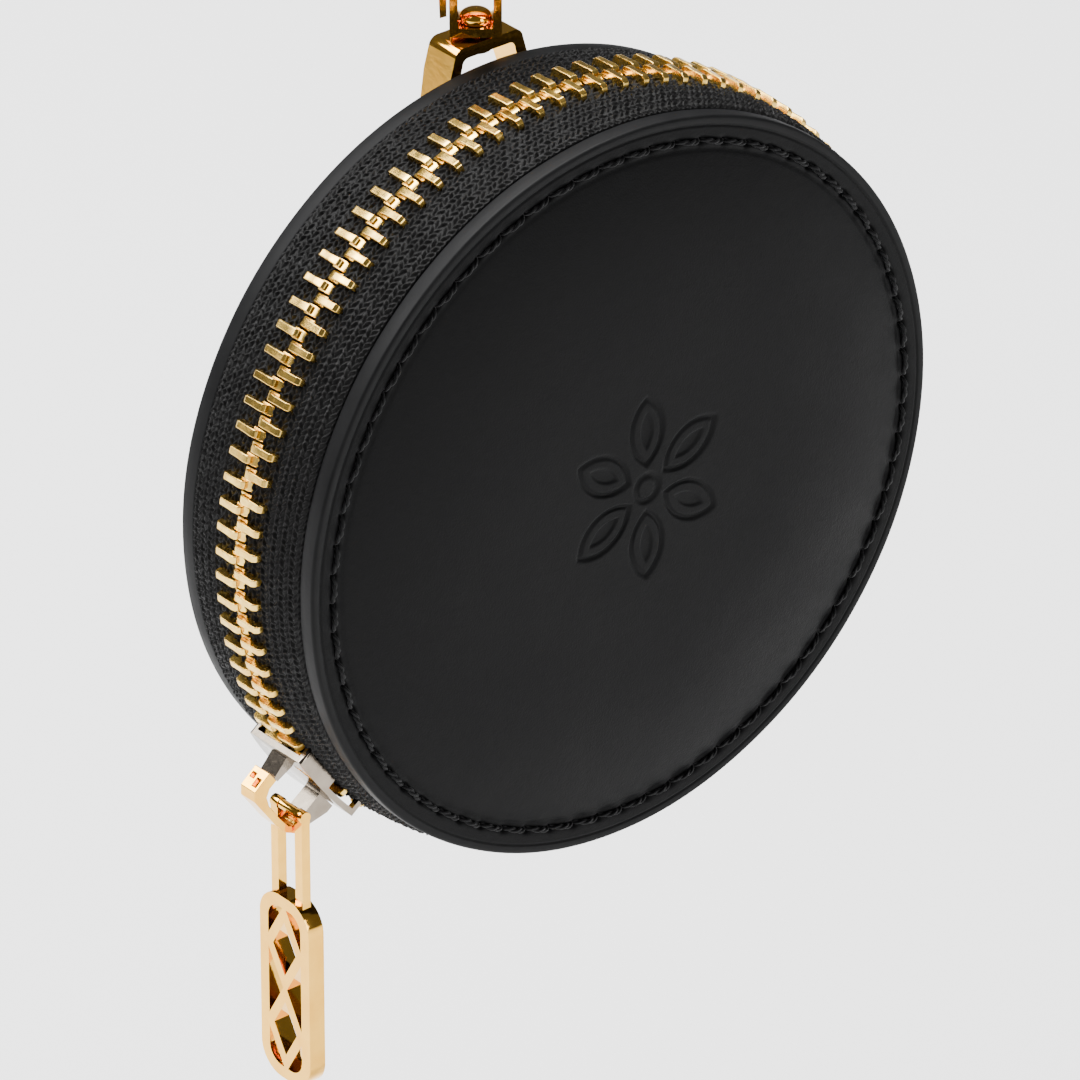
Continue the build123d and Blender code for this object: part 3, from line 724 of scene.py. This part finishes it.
# ---------------------------------------------------------------- linings inside both panels
def make_lining(name, side, body, node):
    """A cloth disc with soft wrinkles, a turned and stitched hem, and a tacked middle."""
    outer_r = DISC_R - 2.4
    radii = np.concatenate([np.linspace(0.6, outer_r - 2.6, 60), np.linspace(outer_r - 2.4, outer_r, 22)])
    degrees = np.arange(0, 360, 1.5)
    r, d = np.meshgrid(radii, degrees, indexing="ij")
    a = np.radians(d)
    face = INNER_Y - 0.65 - 0.5
    hem = 0.22 * smooth_step(r, outer_r - 2.0, outer_r - 1.7)
    hem *= 1 - smooth_step(r, outer_r - 0.25, outer_r)
    pull = 0.05 * np.sin(a * 19) * smooth_step(r, 12, outer_r)
    folds = 0.11 * np.sin(a * 3 + r * 0.16 + side) * smooth_step(r, 2, 16)
    folds += 0.05 * np.sin(a * 7 - r * 0.35)
    y = face - hem - pull * 0.8 - folds * (1 - smooth_step(r, outer_r - 3, outer_r))
    top = np.stack([r * np.cos(a), side * y, r * np.sin(a)], -1).reshape(-1, 3)
    low_y = INNER_Y - 0.64
    n = len(degrees)
    rim = polar(outer_r, degrees, side * low_y)
    points = np.concatenate([top, rim, [[0, side * (face - 0.02), 0]]])
    rows = len(radii)
    faces = grid_faces(rows + 1, n, wrap_cols=True)
    centre = len(points) - 1
    faces += [(centre, (j + 1) % n, j) for j in range(n)]
    faces.append(tuple(rows * n + j for j in range(n)))
    obj = recalc(make_object(name, points, faces, [LINING]))
    settle(obj, body, "lining", node)
    shells = Shells()
    count = 64
    for k in range(count):
        a = 2 * math.pi * (k + 0.5) / count
        middle = ((outer_r - 1.2) * math.cos(a), side * (face - 0.24), (outer_r - 1.2) * math.sin(a))
        twisted_stitch(shells, middle, (-math.sin(a), 0, math.cos(a)), (math.cos(a), 0, math.sin(a)),
                       (0, -side, 0), 2.5, 0.12, 0.3)
    return settle(shells.build(name + "_thread", [THREAD]), body, "thread")


make_lining("front_lining_cloth", -1, "purse_front", "front_lining")
make_lining("back_lining_cloth", 1, "purse_back", "back_lining")

# ---------------------------------------------------------------- stitches on the hang tab
TAB_LOW = 16.6
TAB_INSET = 3.1
TAB_STITCH = 2.1


def make_tab_thread():
    face = (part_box("tab_stitching")[0].y - disc_centre.y) / MM - 0.02
    shells = Shells()
    for x in (-TAB_INSET, TAB_INSET):
        for k in range(4):
            middle = (x, face, TAB_LOW + 2.4 * k)
            twisted_stitch(shells, middle, (0, 0, 1), (1, 0, 0), (0, 1, 0), TAB_STITCH, 0.2, 0.4)
    for z in (15.1, 24.7):
        for x in (-1.3, 1.3):
            twisted_stitch(shells, (x, face, z), (1, 0, 0), (0, 0, 1), (0, 1, 0), TAB_STITCH, 0.2, 0.4)
    settle(shells.build("tab_thread", [THREAD]), "purse_back", "thread", "tab_stitching")


make_tab_thread()

# ---------------------------------------------------------------- the hook's spring
RING_Y = 12.4
HOOK_YAW = math.radians(-39.2)
PIVOT_U, PIVOT_Z = -3.6, 51.0
COIL_R = 0.88


def hook_point(u, depth, z):
    """From the hook's own plane to disc millimetres."""
    return (u * math.cos(HOOK_YAW) - depth * math.sin(HOOK_YAW),
            RING_Y + u * math.sin(HOOK_YAW) + depth * math.cos(HOOK_YAW), z)


def make_spring():
    """Two coils of drawn wire on the gate's pin, each with a short leg up behind the gate."""
    shells = Shells()
    for side in (-1, 1):
        path = []
        for k in range(61):
            t = k / 60
            a = 2 * math.pi * (2.25 * t) - 0.4
            path.append(hook_point(PIVOT_U + COIL_R * math.cos(a), side * (0.62 + 0.31 * t),
                                   PIVOT_Z + COIL_R * math.sin(a)))
        path.append(hook_point(PIVOT_U + 0.75, side * 0.93, PIVOT_Z + 0.95))
        shells.tube(path, 0.095, 8)
    settle(shells.build("spring_coils", [STEEL]), "hook", "spring_steel", "gate_spring")


make_spring()

# ---------------------------------------------------------------- metal and leather kept from the CAD
NODE_FINISH = {
    "bottom_stop": (TEETH_GOLD, 0.3),
    "hang_tab": (STRIP_LEATHER, 0.22), "front_stiffener": (BOARD, 0.05), "back_stiffener": (BOARD, 0.05),
    "slider_body": (NICKEL_WITH_PAINTED_SHADE, 0.2), "slider_bridge": (GOLD, 0.07), "puller": (GOLD, 0.16),
    "swivel_ring": (GOLD, 0.2), "swivel_rivet": (GOLD, 0.08), "hook_body": (GOLD, 0.2),
    "hook_gate": (GOLD, 0.18), "gate_pin": (GOLD, 0.12),
}
for node_name, (node_material, round_off) in NODE_FINISH.items():
    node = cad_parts[node_name]
    node.data.materials.clear()
    node.data.materials.append(node_material)
    add_modifier(node, "WELD", merge_threshold=0.002 * MM)
    bevel(node, round_off, 3, 28)


# ---------------------------------------------------------------- floor, light and camera
def area_light(name, place, aim, size, power, colour=(1, 1, 1)):
    light = bpy.data.lights.new(name, "AREA")
    light.shape = "RECTANGLE"
    light.size, light.size_y = size
    light.energy = power
    light.color = colour
    obj = bpy.data.objects.new(name, light)
    obj.location = place
    obj.rotation_mode = "QUATERNION"
    obj.rotation_quaternion = (Vector(aim) - Vector(place)).to_track_quat("-Z", "Y")
    bpy.context.scene.collection.objects.link(obj)
    return obj


def make_floor():
    low = cad_box[0].z - 0.045
    mesh = bpy.data.meshes.new("floor")
    half = 6.0
    mesh.from_pydata([(-half, -half, low), (half, -half, low), (half, half, low), (-half, half, low)], [],
                     [(0, 1, 2, 3)])
    mesh.materials.append(new_material("pale_floor", (0.97, 0.97, 0.97), 0.8))
    floor = bpy.data.objects.new("floor", mesh)
    bpy.context.scene.collection.objects.link(floor)


make_floor()
world = bpy.data.worlds.new("studio")
world.use_nodes = True
world.node_tree.nodes["Background"].inputs["Color"].default_value = (0.93, 0.95, 1.0, 1)
world.node_tree.nodes["Background"].inputs["Strength"].default_value = 0.14
bpy.context.scene.world = world

AZIMUTH, ELEVATION = math.radians(-39.4), math.radians(29.3)
to_camera = Vector((math.sin(AZIMUTH) * math.cos(ELEVATION), -math.cos(AZIMUTH) * math.cos(ELEVATION),
                    math.sin(ELEVATION)))
right = Vector((math.cos(AZIMUTH), math.sin(AZIMUTH), 0))
upward = to_camera.cross(right)

key_place = disc_centre + (to_camera * 0.45 - right * 0.8 + upward * 0.8)
fill_place = disc_centre + (to_camera * 0.8 + right * 0.8 - upward * 0.15)
top_place = disc_centre + Vector((0.15, 0.3, 1.0))
area_light("key", key_place, disc_centre, (0.75, 0.75), 28)
area_light("fill", fill_place, disc_centre, (0.35, 0.9), 7)
area_light("top", top_place, disc_centre, (0.9, 0.5), 30)

MM_PER_UNIT = DISC_R / 395.8          # of the 1080-unit picture, at the disc's centre
DISTANCE = 25 * DISC_R
camera_data = bpy.data.cameras.new("camera")
camera_data.sensor_width = 36
camera_data.lens = DISTANCE / MM_PER_UNIT / 1080 * 36
camera_data.clip_start, camera_data.clip_end = 0.05, 40
camera = bpy.data.objects.new("camera", camera_data)
aim = disc_centre - right * (18.5 * MM_PER_UNIT * MM) - upward * (90 * MM_PER_UNIT * MM)
camera.location = aim + to_camera * DISTANCE * MM
camera.rotation_mode = "QUATERNION"
camera.rotation_quaternion = (-to_camera).to_track_quat("-Z", "Y")
bpy.context.scene.collection.objects.link(camera)
bpy.context.scene.camera = camera
